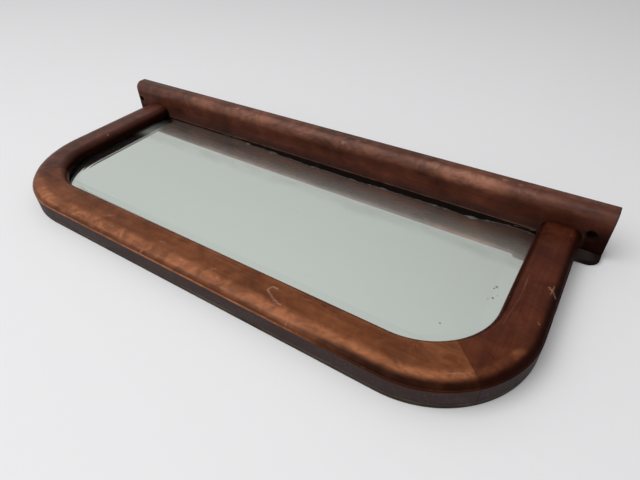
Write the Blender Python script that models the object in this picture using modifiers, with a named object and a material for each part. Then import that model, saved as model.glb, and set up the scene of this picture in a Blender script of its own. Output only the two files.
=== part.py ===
"""Countertop mirror: a bevelled mirror plate in a U-shaped, mitred hardwood frame that stands on a
base rail with screw-down ears.

The object is modelled lying on its back. +X runs along its length, +Y from the rounded top of the
frame down to the base rail, and +Z out of the mirror's face. In use it stands on the base rail's
far face, the one that looks along +Y. The pieces are laid out from the corner of the frame's
outline, at the back, and hang from an empty that puts the origin at the centre of the back.
"""

import math
from collections import namedtuple

import bmesh
import bpy
from mathutils import Matrix, Vector

MM = 0.001
GAP = 0.3 * MM  # clearance between neighbouring pieces
OVERRUN = 5.0 * MM  # how far a cutter runs on past the surface it opens
TOUCHING = 1e-6  # positions closer than this count as equal

# Frame outline
FRAME_LENGTH = 406.0 * MM
FRAME_DEPTH = 161.5 * MM  # rounded top edge to the base rail's upper face
CORNER_STEPS = 22

# Each side: name, x of the outline, direction of X towards the middle, and the radii of the
# corner's outer and inner edges. The two corners differ a little.
Side = namedtuple("Side", "name edge inward radii")
LEFT = Side("left", 0.0, 1, (75.0 * MM, 43.0 * MM))
RIGHT = Side("right", FRAME_LENGTH, -1, (64.0 * MM, 45.0 * MM))

# Frame section, measured inwards from the outline and up from the back of the object
MEMBER_WIDTH = 25.6 * MM
TOP_EXTRA = 2.25 * MM  # the top rail is this much wider than the stiles
ARRIS_HEIGHT = 13.9 * MM
CREST_HEIGHT = 17.5 * MM
QUIRK = 0.5 * MM  # small ledge at the foot of the outer round-over
OUTER_ROUND_WIDTH = 8.9 * MM  # outline to the crest, quirk included
INNER_ROUND_RADIUS = 6.5 * MM
ROUND_STEPS = 7
RABBET_WIDTH = 5.0 * MM
RABBET_INSET = MEMBER_WIDTH - RABBET_WIDTH  # outline to the rabbet's wall

# Layers behind the frame's lip
BOARD_THICKNESS = 3.2 * MM
GLASS_THICKNESS = 4.3 * MM
GLASS_BEVEL_WIDTH = 13.3 * MM
GLASS_BEVEL_DROP = 1.4 * MM
GLASS_INSET = RABBET_INSET + GAP

FRAME_BACK = BOARD_THICKNESS + GAP
GLASS_BACK = FRAME_BACK
GLASS_FRONT = GLASS_BACK + GLASS_THICKNESS
LIP_BACK = GLASS_FRONT + GAP

# Base rail
EAR = 14.6 * MM  # overhang of the rail past each side of the frame
RAIL_THICKNESS = 11.7 * MM
RAIL_HEIGHT = 34.4 * MM  # back of the object to the rail's front edge
RAIL_ROUND_RADIUS = 6.7 * MM
RAIL_ROUND_STEPS = 10
RAIL_RABBET_DEPTH = 4.3 * MM
# The rabbet clears the bevel, which is this far below the plate's front at the rail's face
BEVEL_DROP_AT_RAIL = GLASS_BEVEL_DROP * (1 - (RAIL_RABBET_DEPTH - GAP) / GLASS_BEVEL_WIDTH)
RAIL_RABBET_TOP = GLASS_FRONT - BEVEL_DROP_AT_RAIL + GAP
TOTAL_DEPTH = FRAME_DEPTH + RAIL_THICKNESS

# Ears of the back board
BOARD_EAR_START = 151.5 * MM
BOARD_EAR_RADIUS = 8.0 * MM
BOARD_EAR_STEPS = 8

# Screw-down holes through the ears: (x, z, shank diameter, head diameter)
EAR_HOLES = (
    (-10.8 * MM, 18.7 * MM, 4.4 * MM, 5.4 * MM),
    (410.6 * MM, 15.1 * MM, 4.8 * MM, 8.6 * MM),
)
EAR_HOLE_STEPS = 24

# Splines across the mitres
SPLINE_ALONG = 12.0 * MM  # along the mitre
SPLINE_ACROSS = 16.0 * MM
SPLINE_THICKNESS = 2.4 * MM
SPLINE_BACK = 9.7 * MM
SPLINE_INSET = 11.0 * MM  # from the corner's outer edge to the spline's centre

# Wood screws from the base rail into the stiles
SCREW_LENGTH = 32.0 * MM
SCREW_SHANK = 3.4 * MM
SCREW_HEAD = 6.6 * MM
SCREW_HEAD_DEPTH = 2.2 * MM
SCREW_RIM = 0.35 * MM  # straight edge of the head
SCREW_TAPER = 5.0 * MM
SCREW_TIP_LENGTH = 0.6 * MM
SCREW_TIP_SHARE = 0.45  # radius where the tip starts, as a share of the shank's
SCREW_STEPS = 18
SCREW_RECESS = 0.4 * MM
SCREW_OFFSETS = (5.2 * MM, 14.6 * MM)  # from the side of the frame
SCREW_Z = 9.3 * MM
FIRST_SLOT_ANGLE = 70  # degrees; each later screw is turned on by the step
SLOT_ANGLE_STEP = 47
SLOT_HALF_LENGTH = 6.0 * MM
SLOT_WIDTH = 0.9 * MM
SLOT_DEPTH = 1.0 * MM

# Brads from the back board into the frame
BRAD_LENGTH = 11.0 * MM
BRAD_SHANK = 1.5 * MM
BRAD_HEAD = 3.2 * MM
BRAD_HEAD_DEPTH = 0.7 * MM
BRAD_RIM = 0.25 * MM
BRAD_POINT = 1.6 * MM
BRAD_STEPS = 12
BRAD_RECESS = 0.2 * MM
TOP_BRAD_OFFSET = 74.0 * MM  # outer brads of the top rail, from the sides
STILE_BRAD_YS = (72.0 * MM, 122.0 * MM)
RAIL_BRAD_OFFSET = 34.0 * MM  # outer brads of the base rail, from the sides

ALONG_Y = Matrix.Rotation(-math.pi / 2, 4, "X")  # turns +Z to +Y
UPSIDE_DOWN = Matrix.Rotation(math.pi, 4, "X")


# ---------------------------------------------------------------------------------------------
# Scene and materials

for old in list(bpy.data.objects):
    bpy.data.objects.remove(old, do_unlink=True)


def make_collection(name):
    collection = bpy.data.collections.new(name)
    bpy.context.scene.collection.children.link(collection)
    return collection


def make_material(name, colour, roughness, metallic=0.0):
    material = bpy.data.materials.new(name)
    material.use_nodes = True
    shader = material.node_tree.nodes["Principled BSDF"]
    shader.inputs["Base Color"].default_value = (*colour, 1.0)
    shader.inputs["Roughness"].default_value = roughness
    shader.inputs["Metallic"].default_value = metallic
    material.diffuse_color = (*colour, 1.0)
    return material


PARTS = make_collection("countertop_mirror")
CUTTERS = make_collection("countertop_mirror_cutters")

WOOD = make_material("stained_wood", colour=(0.115, 0.037, 0.018), roughness=0.35)
RAIL_WOOD = make_material("stained_rail_wood", colour=(0.095, 0.034, 0.018), roughness=0.33)
PALE_WOOD = make_material("spline_wood", colour=(0.42, 0.27, 0.14), roughness=0.6)
BOARD = make_material("back_board", colour=(0.13, 0.085, 0.055), roughness=0.75)
MIRROR = make_material("mirror_plate", colour=(0.72, 0.77, 0.73), roughness=0.03, metallic=1.0)
STEEL = make_material("steel_screw", colour=(0.32, 0.29, 0.26), roughness=0.42, metallic=1.0)
BRAD_STEEL = make_material("brad_steel", colour=(0.36, 0.33, 0.29), roughness=0.45, metallic=1.0)


# ---------------------------------------------------------------------------------------------
# Shared helpers


def add_object(name, mesh, material=None):
    """A visible piece if it has a material, otherwise a hidden helper for a boolean."""
    obj = bpy.data.objects.new(name, mesh)
    if material:
        PARTS.objects.link(obj)
        obj.data.materials.append(material)
    else:
        CUTTERS.objects.link(obj)
        obj.hide_render = True
        obj.display_type = "WIRE"
    return obj


def mesh_from(bm, name):
    bmesh.ops.recalc_face_normals(bm, faces=bm.faces)
    mesh = bpy.data.meshes.new(name)
    bm.to_mesh(mesh)
    bm.free()
    return mesh


def smooth(obj, degrees=30.0):
    obj.data.shade_smooth()
    obj.data.set_sharp_from_angle(angle=math.radians(degrees))


def box_bmesh(low, high):
    bm = bmesh.new()
    size = Vector(high) - Vector(low)
    centre = (Vector(high) + Vector(low)) / 2
    bmesh.ops.create_cube(
        bm, size=1.0, matrix=Matrix.Translation(centre) @ Matrix.Diagonal((*size, 1.0))
    )
    return bm


def add_box(name, low, high, material=None):
    return add_object(name, mesh_from(box_bmesh(low, high), name), material)


def round_edge(bm, radius, steps, x=None, y=None, z=None):
    """Rounds the edge of a box that lies on the line fixed by two of the coordinates."""

    def on_line(vert):
        return all(
            wanted is None or abs(actual - wanted) < TOUCHING
            for actual, wanted in zip(vert.co, (x, y, z))
        )

    bmesh.ops.bevel(
        bm,
        geom=[edge for edge in bm.edges if all(on_line(vert) for vert in edge.verts)],
        offset=radius,
        offset_type="OFFSET",
        segments=steps,
        profile=0.5,
        affect="EDGES",
    )


def plate_bmesh(low, high, radii, steps):
    """A flat plate whose two corners at its low-Y edge are rounded, left then right."""
    bm = box_bmesh(low, high)
    for x, radius in zip((low[0], high[0]), radii):
        round_edge(bm, radius, steps, x=x, y=low[1])
    return bm


def lathe(name, profile, steps, place, material=None):
    """A turned piece about its own Z axis. The profile of (radius, z) runs from the top down."""
    bm = bmesh.new()
    verts = [bm.verts.new((radius, 0.0, z)) for radius, z in profile]
    for pair in zip(verts, verts[1:]):
        bm.edges.new(pair)
    mesh = bpy.data.meshes.new(name)
    bm.to_mesh(mesh)
    bm.free()
    obj = add_object(name, mesh, material)
    obj.matrix_world = place
    turn = obj.modifiers.new("Turn", "SCREW")
    turn.axis = "Z"
    turn.angle = math.tau
    turn.steps = steps
    turn.render_steps = steps
    turn.use_merge_vertices = True
    turn.merge_threshold = 0.00001
    return obj


def combine(obj, other, name, operation="DIFFERENCE"):
    boolean = obj.modifiers.new(name, "BOOLEAN")
    boolean.operation = operation
    boolean.solver = "EXACT"
    boolean.object = other


def add_bore(name, profile, steps, place):
    """Cutter for a fastener: its enlarged profile, with the head carried on outwards."""
    head_radius = profile[1][0]
    outline = ((0.0, OVERRUN), (head_radius, OVERRUN)) + profile[1:]
    return lathe(name, outline, steps, place)


# ---------------------------------------------------------------------------------------------
# The U-shaped moulding, swept round the outline and then cut into three mitred members


def frame_section():
    """The moulding's closed section: (distance in from the outline, height)."""
    rise = CREST_HEIGHT - ARRIS_HEIGHT
    run = OUTER_ROUND_WIDTH - QUIRK
    radius = INNER_ROUND_RADIUS
    angles = [math.pi / 2 * step / ROUND_STEPS for step in range(ROUND_STEPS + 1)]
    outer_round = [
        (QUIRK + run * (1 - math.cos(angle)), ARRIS_HEIGHT + rise * math.sin(angle))
        for angle in angles
    ]
    inner_round = [
        (
            MEMBER_WIDTH - radius * (1 - math.sin(angle)),
            CREST_HEIGHT - radius * (1 - math.cos(angle)),
        )
        for angle in angles
    ]
    return [
        (0.0, FRAME_BACK),
        (0.0, ARRIS_HEIGHT),
        *outer_round,
        *inner_round,
        (MEMBER_WIDTH, LIP_BACK),
        (RABBET_INSET, LIP_BACK),
        (RABBET_INSET, FRAME_BACK),
    ]


def corner_point(side, inset, turn):
    """Plan position on a corner, where turn runs from 0 at the stile to 90 degrees at the top
    rail. The outer half of the section follows the outer edge, and the inner half the inner edge,
    which lies further in along the top rail.
    """
    outer, inner = side.radii
    if inset < MEMBER_WIDTH / 2:
        centre, extra = outer, 0.0
    else:
        centre, extra = MEMBER_WIDTH + inner, TOP_EXTRA
    radius = centre - inset
    x = centre - radius * math.cos(turn)
    return side.edge + side.inward * x, centre + extra - radius * math.sin(turn)


def moulding_mesh():
    """The whole U: down from the left end, round both corners, and to the right end."""
    end = FRAME_DEPTH - GAP
    section = frame_section()
    turns = [math.pi / 2 * step / CORNER_STEPS for step in range(CORNER_STEPS + 1)]
    corners = [(LEFT, turn) for turn in turns] + [(RIGHT, turn) for turn in reversed(turns)]
    stations = [
        [corner_point(side, inset, turn) for inset, _ in section] for side, turn in corners
    ]
    stations.append([(FRAME_LENGTH - inset, end) for inset, _ in section])

    bm = bmesh.new()
    ring = [bm.verts.new((inset, end, z)) for inset, z in section]
    edges = [bm.edges.new(pair) for pair in zip(ring, ring[1:] + ring[:1])]
    bm.faces.new(ring)
    for station in stations:
        # The new verts come in any order, and lie on the old ones until they are moved
        order = {tuple(vert.co): index for index, vert in enumerate(ring)}
        extruded = bmesh.ops.extrude_edge_only(bm, edges=edges)["geom"]
        verts = [item for item in extruded if isinstance(item, bmesh.types.BMVert)]
        edges = [item for item in extruded if isinstance(item, bmesh.types.BMEdge)]
        ring = sorted(verts, key=lambda vert: order[tuple(vert.co)])
        for vert, (x, y) in zip(ring, station):
            vert.co.x, vert.co.y = x, y
    bmesh.ops.contextual_create(bm, geom=edges)
    return mesh_from(bm, "moulding")


def half_space(name, point, normal):
    """A large block whose face passes through a point; it fills the side the normal points to."""
    size = 1.2
    angle = math.atan2(normal[1], normal[0])
    place = (
        Matrix.Translation(Vector(point))
        @ Matrix.Rotation(angle, 4, "Z")
        @ Matrix.Translation((size / 2, 0, 0))
    )
    bm = bmesh.new()
    bmesh.ops.create_cube(bm, size=size, matrix=place)
    return add_object(name, mesh_from(bm, name))


moulding = moulding_mesh()
top_rail = add_object("top_rail", moulding.copy(), WOOD)
stiles = {}
mitre_shift = GAP / 2 * math.sqrt(0.5)  # along X and Y, to each side of the mitre line
for side in (LEFT, RIGHT):
    past = half_space(
        f"past_{side.name}_mitre",
        point=(side.edge + side.inward * mitre_shift, -mitre_shift, 0),
        normal=(-side.inward, 1),
    )
    before = half_space(
        f"before_{side.name}_mitre",
        point=(side.edge - side.inward * mitre_shift, mitre_shift, 0),
        normal=(side.inward, -1),
    )
    combine(top_rail, past, f"{side.name.capitalize()} mitre")
    stiles[side] = add_object(f"{side.name}_stile", moulding.copy(), WOOD)
    combine(stiles[side], before, "Mitre")


# ---------------------------------------------------------------------------------------------
# Base rail: a board on edge, its upper front edge rounded over


def add_base_rail():
    bm = box_bmesh(
        (-EAR, FRAME_DEPTH, FRAME_BACK),
        (FRAME_LENGTH + EAR, TOTAL_DEPTH, RAIL_HEIGHT),
    )
    round_edge(bm, RAIL_ROUND_RADIUS, RAIL_ROUND_STEPS, y=FRAME_DEPTH, z=RAIL_HEIGHT)
    rail = add_object("base_rail", mesh_from(bm, "base_rail"), RAIL_WOOD)
    rabbet = add_box(
        "rail_rabbet",
        (RABBET_INSET, FRAME_DEPTH - OVERRUN, -OVERRUN),
        (FRAME_LENGTH - RABBET_INSET, FRAME_DEPTH + RAIL_RABBET_DEPTH, RAIL_RABBET_TOP),
    )
    combine(rail, rabbet, "Rabbet")
    return rail


def add_ear_hole(name, x, z, shank, head):
    """Cutter for a hole along Y, countersunk from the rail's upper face."""
    far_end = RAIL_THICKNESS + OVERRUN
    profile = (
        (0.0, far_end),
        (shank / 2, far_end),
        (shank / 2, (head - shank) / 2),
        (head / 2, 0.0),
        (head / 2, -OVERRUN),
        (0.0, -OVERRUN),
    )
    place = Matrix.Translation((x, FRAME_DEPTH, z)) @ ALONG_Y
    return lathe(name, profile, EAR_HOLE_STEPS, place)


base_rail = add_base_rail()
for index, hole in enumerate(EAR_HOLES):
    combine(base_rail, add_ear_hole(f"ear_hole_{index}", *hole), f"Ear hole {index}")


# ---------------------------------------------------------------------------------------------
# Mirror plate: flat back, rounded top corners, bevelled front margin


def add_mirror_plate():
    # The corners follow the frame's inner edge
    radii = [MEMBER_WIDTH + side.radii[1] - GLASS_INSET for side in (LEFT, RIGHT)]
    bm = plate_bmesh(
        (GLASS_INSET, GLASS_INSET + TOP_EXTRA, GLASS_BACK),
        (FRAME_LENGTH - GLASS_INSET, FRAME_DEPTH + RAIL_RABBET_DEPTH - GAP, GLASS_FRONT),
        radii,
        CORNER_STEPS,
    )
    front = [face for face in bm.faces if face.normal.z > 0.9]
    bmesh.ops.inset_region(bm, faces=front, thickness=GLASS_BEVEL_WIDTH, use_even_offset=True)
    # Lower the front's outer rim, whose verts also belong to the upright sides
    for vert in bm.verts:
        on_rim = any(abs(face.normal.z) < 0.5 for face in vert.link_faces)
        if vert.co.z > GLASS_FRONT - TOUCHING and on_rim:
            vert.co.z -= GLASS_BEVEL_DROP
    return add_object("mirror_plate", mesh_from(bm, "mirror_plate"), MIRROR)


mirror_plate = add_mirror_plate()


# ---------------------------------------------------------------------------------------------
# Back board: follows the outline, and widens to two rounded ears behind the base rail


def add_back_board():
    bm = plate_bmesh(
        (0.0, 0.0, 0.0),
        (FRAME_LENGTH, TOTAL_DEPTH, BOARD_THICKNESS),
        (LEFT.radii[0], RIGHT.radii[0]),
        CORNER_STEPS,
    )
    board = add_object("back_board", mesh_from(bm, "back_board"), BOARD)
    bm = plate_bmesh(
        (-EAR, BOARD_EAR_START, 0.0),
        (FRAME_LENGTH + EAR, TOTAL_DEPTH, BOARD_THICKNESS),
        (BOARD_EAR_RADIUS, BOARD_EAR_RADIUS),
        BOARD_EAR_STEPS,
    )
    ears = add_object("board_ears", mesh_from(bm, "board_ears"))
    combine(board, ears, "Ears", operation="UNION")
    return board


back_board = add_back_board()


# ---------------------------------------------------------------------------------------------
# Splines across the mitres, in blind slots


def add_spline_box(name, side, grow=0.0, material=None):
    x, y = corner_point(side, SPLINE_INSET, math.pi / 4)
    half = Vector((SPLINE_ALONG, SPLINE_ACROSS, SPLINE_THICKNESS)) / 2 + Vector((grow,) * 3)
    box = add_box(name, -half, half, material)
    box.matrix_world = Matrix.Translation(
        (x, y, SPLINE_BACK + SPLINE_THICKNESS / 2)
    ) @ Matrix.Rotation(side.inward * math.pi / 4, 4, "Z")
    return box


for side, stile in stiles.items():
    add_spline_box(f"{side.name}_mitre_spline", side, material=PALE_WOOD)
    slot = add_spline_box(f"{side.name}_spline_slot", side, grow=GAP)
    combine(top_rail, slot, f"{side.name} spline slot")
    combine(stile, slot, "Spline slot")


# ---------------------------------------------------------------------------------------------
# Wood screws that hold the base rail to the ends of the stiles. Their axis is Y, heads at +Y.


def screw_profile(grow=0.0):
    """Half outline of a countersunk screw, head at the top, point at the bottom."""
    shank = SCREW_SHANK / 2 + grow
    head = SCREW_HEAD / 2 + grow
    return (
        (0.0, 0.0),
        (head, 0.0),
        (head, -SCREW_RIM - grow),
        (shank, -SCREW_HEAD_DEPTH - grow),
        (shank, -SCREW_LENGTH + SCREW_TAPER),
        (shank * SCREW_TIP_SHARE, -SCREW_LENGTH + SCREW_TIP_LENGTH - grow),
        (0.0, -SCREW_LENGTH - grow),
    )


def add_screw(number, place):
    screw = lathe(f"base_screw_{number}", screw_profile(), SCREW_STEPS, place, STEEL)
    smooth(screw)
    slot = add_box(
        f"base_screw_slot_{number}",
        (-SLOT_HALF_LENGTH, -SLOT_WIDTH / 2, -SLOT_DEPTH),
        (SLOT_HALF_LENGTH, SLOT_WIDTH / 2, OVERRUN),
    )
    slot.matrix_world = place
    combine(screw, slot, "Slot")


screw_sites = [(side, offset) for side in stiles for offset in SCREW_OFFSETS]
for number, (side, offset) in enumerate(screw_sites, start=1):
    head_centre = (side.edge + side.inward * offset, TOTAL_DEPTH - SCREW_RECESS, SCREW_Z)
    slot_angle = math.radians(FIRST_SLOT_ANGLE + SLOT_ANGLE_STEP * (number - 1))
    place = Matrix.Translation(head_centre) @ Matrix.Rotation(slot_angle, 4, "Y") @ ALONG_Y
    add_screw(number, place)
    bore = add_bore(f"base_screw_bore_{number}", screw_profile(GAP), SCREW_STEPS, place)
    combine(base_rail, bore, f"Screw bore {number}")
    combine(stiles[side], bore, f"Screw bore {number}")


# ---------------------------------------------------------------------------------------------
# Brads through the back board, heads just below its back. Their axis is Z, heads at -Z.


def brad_profile(grow=0.0):
    """Half outline of a brad, head at the top, point at the bottom."""
    shank = BRAD_SHANK / 2 + grow
    head = BRAD_HEAD / 2 + grow
    return (
        (0.0, 0.0),
        (head, 0.0),
        (head, -BRAD_RIM - grow),
        (shank, -BRAD_HEAD_DEPTH - grow),
        (shank, -BRAD_LENGTH + BRAD_POINT),
        (0.0, -BRAD_LENGTH - grow),
    )


def spread(offset):
    """Three places along X: at an offset from each side, and midway."""
    return offset, FRAME_LENGTH / 2, FRAME_LENGTH - offset


def brad_sites():
    """Each brad: (member it is driven into, x, y)."""
    frame_line = RABBET_INSET / 2  # middle of the frame's back face
    rail_line = FRAME_DEPTH + (RAIL_RABBET_DEPTH + RAIL_THICKNESS) / 2
    sites = [(top_rail, x, frame_line) for x in spread(TOP_BRAD_OFFSET)]
    for side, stile in stiles.items():
        x = side.edge + side.inward * frame_line
        sites += [(stile, x, y) for y in STILE_BRAD_YS]
    sites += [(base_rail, x, rail_line) for x in spread(RAIL_BRAD_OFFSET)]
    return sites


for index, (member, x, y) in enumerate(brad_sites(), start=1):
    place = Matrix.Translation((x, y, BRAD_RECESS)) @ UPSIDE_DOWN
    smooth(lathe(f"back_brad_{index:02d}", brad_profile(), BRAD_STEPS, place, BRAD_STEEL))
    bore = add_bore(f"back_brad_bore_{index:02d}", brad_profile(GAP), BRAD_STEPS, place)
    combine(back_board, bore, f"Brad bore {index}")
    combine(member, bore, f"Brad bore {index}")

for obj in (top_rail, *stiles.values(), base_rail, mirror_plate):
    smooth(obj)

# ---------------------------------------------------------------------------------------------
# Everything hangs from an empty that sets the origin at the centre of the back

pieces = [*PARTS.objects, *CUTTERS.objects]
origin = bpy.data.objects.new("countertop_mirror_origin", None)
origin.location = (-FRAME_LENGTH / 2, -TOTAL_DEPTH / 2, 0.0)
PARTS.objects.link(origin)
for obj in pieces:
    obj.parent = origin
bpy.context.view_layer.update()
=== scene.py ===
"""A framed mirror lying on its back: three mitred moulding members round a bevelled plate,
closed by a base rail with drilled ears, over a thin back board.

The frame lies flat with +Z out of the glass. X runs from the left stile to the right one, and
Y from the top rail to the base rail. Lengths are millimetres unless noted. "Plan" coordinates
are X and Y measured from the corner of the frame's outline, where left stile meets top rail.
"""

import math
from types import SimpleNamespace

import bmesh
import bpy
import numpy as np
from mathutils import Matrix, Vector, noise


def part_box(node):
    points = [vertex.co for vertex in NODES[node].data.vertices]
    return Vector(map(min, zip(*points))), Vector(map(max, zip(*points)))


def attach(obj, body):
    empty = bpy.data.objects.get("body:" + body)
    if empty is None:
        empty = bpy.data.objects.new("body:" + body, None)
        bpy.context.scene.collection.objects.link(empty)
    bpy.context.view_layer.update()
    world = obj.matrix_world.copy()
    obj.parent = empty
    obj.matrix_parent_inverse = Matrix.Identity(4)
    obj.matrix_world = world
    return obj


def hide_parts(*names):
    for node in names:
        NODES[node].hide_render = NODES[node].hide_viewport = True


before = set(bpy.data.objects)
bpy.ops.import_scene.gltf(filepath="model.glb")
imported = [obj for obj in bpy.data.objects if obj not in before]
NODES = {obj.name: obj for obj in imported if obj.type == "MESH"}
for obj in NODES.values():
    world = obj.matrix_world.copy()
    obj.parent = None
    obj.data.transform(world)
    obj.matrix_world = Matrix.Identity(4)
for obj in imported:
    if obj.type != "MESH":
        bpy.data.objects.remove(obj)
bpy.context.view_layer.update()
MM = 0.001

# ---------------------------------------------------------------------------------------------
# Places taken from the CAD pieces

ORIGIN_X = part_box("left_stile")[0].x / MM
ORIGIN_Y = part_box("top_rail")[0].y / MM
LENGTH = (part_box("right_stile")[1].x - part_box("left_stile")[0].x) / MM
RAIL_LOW, RAIL_HIGH = ([c / MM for c in corner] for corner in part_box("base_rail"))
RAIL_FRONT = RAIL_LOW[1] - ORIGIN_Y
RAIL_BACK = RAIL_HIGH[1] - ORIGIN_Y
RAIL_THICKNESS = RAIL_BACK - RAIL_FRONT
RAIL_BOTTOM, RAIL_TOP = RAIL_LOW[2], RAIL_HIGH[2]
EAR_LENGTH = -(RAIL_LOW[0] - ORIGIN_X)  # how far the rail passes each stile
MOULDING_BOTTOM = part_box("top_rail")[0].z / MM
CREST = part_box("top_rail")[1].z / MM
GLASS_LOW, GLASS_HIGH = ([c / MM for c in corner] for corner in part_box("mirror_plate"))
BOARD_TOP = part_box("back_board")[1].z / MM

# The mouldings
MEMBER_WIDTH = 25.6
ARRIS = 13.9  # height of the outer wall's upper edge
QUIRK = 0.5  # step from the arris in to the outer round-over
OUTER_ROUND = 8.9  # inset where the outer round-over meets the flat
INNER_ROUND = 6.5
FLAT_END = MEMBER_WIDTH - INNER_ROUND
RABBET = 5.0
LEFT_RADII = (75.0, 43.0)  # outer and inner edge
RIGHT_RADII = (64.0, 45.0)
TOP_EXTRA = (GLASS_LOW[1] - ORIGIN_Y) - (GLASS_LOW[0] - ORIGIN_X)  # top rail wider than stiles

# The glass
GLASS_CLEARANCE = 0.3
LIP = GLASS_HIGH[2] + GLASS_CLEARANCE  # underside of the moulding's lip
BEVEL_WIDTH = 13.3
BEVEL_DROP = 1.4

# The base rail
RAIL_ROUND = 6.7
RAIL_EDGE = 0.45  # rounding of the other edges
glass_under_rail = GLASS_HIGH[1] - (ORIGIN_Y + RAIL_FRONT)
FOOT_HEIGHT = (
    GLASS_HIGH[2] - BEVEL_DROP * (1 - glass_under_rail / BEVEL_WIDTH) + GLASS_CLEARANCE
)  # lower front edge, over the bevel
# x, z, shank diameter, countersink diameter
EAR_HOLES = ((-10.8, 18.7, 4.4, 5.4), (410.6, 15.1, 4.8, 8.6))

# The back board's ears, under the rail's
BOARD_EAR_START = 151.5  # y
BOARD_EAR_RADIUS = 8.0

# ---------------------------------------------------------------------------------------------
# Masks and noise


def fractal(points, size, octaves=3, seed=0.0):
    """Smooth noise in about -1 to 1 at each point, with features of about `size` mm."""
    shift = Vector((seed * 17.13, seed * 5.71 + 3.3, seed * 9.37 - 7.7))
    octave_shift = Vector((31.7, 11.3, 5.9))
    out = np.zeros(len(points))
    total = 0.0
    for octave in range(octaves):
        amplitude = 0.5**octave
        places = points * (2.0**octave / np.broadcast_to(size, 3))
        out += amplitude * np.array([noise.noise(Vector(p) + shift) for p in places.tolist()])
        total += amplitude
        shift = shift + octave_shift
    return out / total


def rise(x, low, high):
    """Smoothly 0 below low to 1 above high."""
    part = np.clip((np.asarray(x, float) - low) / (high - low), 0, 1)
    return part * part * (3 - 2 * part)


def fall(x, low, high):
    return 1 - rise(x, low, high)


def band(x, low, high, soft):
    """1 inside low to high, falling to 0 over soft at each side."""
    return rise(x, low - soft, low) * fall(x, high, high + soft)


def segment_distance(points, start, end):
    start, end = np.array(start, float), np.array(end, float)
    span = end - start
    part = np.clip(((points - start) @ span) / (span @ span), 0, 1)
    return np.linalg.norm(points - (start + part[:, None] * span), axis=1)


def polyline_distance(points, line):
    return np.min([segment_distance(points, a, b) for a, b in zip(line, line[1:])], axis=0)


# ---------------------------------------------------------------------------------------------
# Outlines and meshes


def line_points(start, end, steps, ease=False):
    """Points from start, leaving out the end. Ease crowds them towards both ends."""
    points = []
    for i in range(steps):
        part = i / steps
        if ease:
            part = (1 - math.cos(math.pi * part)) / 2
        points.append(tuple(a + (b - a) * part for a, b in zip(start, end)))
    return points


def arc_points(centre, radius, degrees, steps, second_radius=None, closed=False):
    """Points along an arc, with its last point only if closed. A second radius makes an
    ellipse."""
    if second_radius is None:
        second_radius = radius
    first, last = degrees
    turns = [math.radians(first + (last - first) * i / steps) for i in range(steps + closed)]
    return [
        (centre[0] + radius * math.cos(turn), centre[1] + second_radius * math.sin(turn))
        for turn in turns
    ]


def paint(mesh, attributes):
    for key, values in attributes.items():
        layer = mesh.attributes.new(key, "FLOAT", "POINT")
        layer.data.foreach_set("value", np.asarray(values, np.float32))


def new_object(name, vertices, faces, attributes=None, sharp=None):
    """A smooth mesh object from plan points. Edges over `sharp` degrees are marked sharp."""
    points = np.asarray(vertices, float) + (ORIGIN_X, ORIGIN_Y, 0)
    mesh = bpy.data.meshes.new(name)
    mesh.from_pydata((points * MM).tolist(), [], faces)
    paint(mesh, attributes or {})
    bm = bmesh.new()
    bm.from_mesh(mesh)
    bmesh.ops.recalc_face_normals(bm, faces=bm.faces)
    bm.to_mesh(mesh)
    bm.free()
    mesh.shade_smooth()
    if sharp:
        mesh.set_sharp_from_angle(angle=math.radians(sharp))
    obj = bpy.data.objects.new(name, mesh)
    bpy.context.scene.collection.objects.link(obj)
    return obj


def grid_faces(rings, count):
    """Quads between closed rings of `count` points, and a cap at each end."""
    faces = []
    for ring in range(rings - 1):
        this, following = ring * count, (ring + 1) * count
        for i in range(count):
            j = (i + 1) % count
            faces.append((this + i, this + j, following + j, following + i))
    faces.append(tuple(range(count)))
    faces.append(tuple(range((rings - 1) * count, rings * count)))
    return faces


def slab_object(name, outline, rings, sharp=None):
    """A flat body from an outline function and rings of (inset, height)."""
    outlines = [outline(inset) for inset, _ in rings]
    count = len(outlines[0])
    points = np.concatenate(
        [np.column_stack([o, np.full(count, z)]) for o, (_, z) in zip(outlines, rings)]
    )
    return new_object(name, points, grid_faces(len(rings), count), sharp=sharp)


def plan_points(obj):
    places = np.zeros(len(obj.data.vertices) * 3, np.float32)
    obj.data.vertices.foreach_get("co", places)
    places = places.reshape(-1, 3).astype(float) / MM
    places[:, 0] -= ORIGIN_X
    places[:, 1] -= ORIGIN_Y
    return places


def box_centre(name):
    """Centre of a CAD piece, from the world's origin."""
    return [(low + high) / 2 / MM for low, high in zip(*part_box(name))]


def add_turned_hole(bm, steps, ends, origin, axis, segments=48):
    """Adds a closed cutter turned about an axis through origin. Steps are (radius, distance
    along the axis); the first and last radius run on to the two ends."""
    start, end = ends
    profile = [(0, start), (steps[0][0], start), *steps, (steps[-1][0], end), (0, end)]
    axis = Vector(axis).normalized()
    side = axis.orthogonal().normalized()
    other = axis.cross(side)
    turns = [math.tau * i / segments for i in range(segments)]
    rings = []
    for radius, distance in profile:
        base = Vector(origin) + axis * distance
        if radius == 0:
            rings.append([bm.verts.new(base * MM)])
            continue
        spokes = [side * math.cos(turn) + other * math.sin(turn) for turn in turns]
        rings.append([bm.verts.new((base + spoke * radius) * MM) for spoke in spokes])
    for a, b in zip(rings, rings[1:]):
        for i in range(segments):
            j = (i + 1) % segments
            if len(a) == 1:
                bm.faces.new((a[0], b[i], b[j]))
            elif len(b) == 1:
                bm.faces.new((a[i], b[0], a[j]))
            else:
                bm.faces.new((a[i], b[i], b[j], a[j]))


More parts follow.
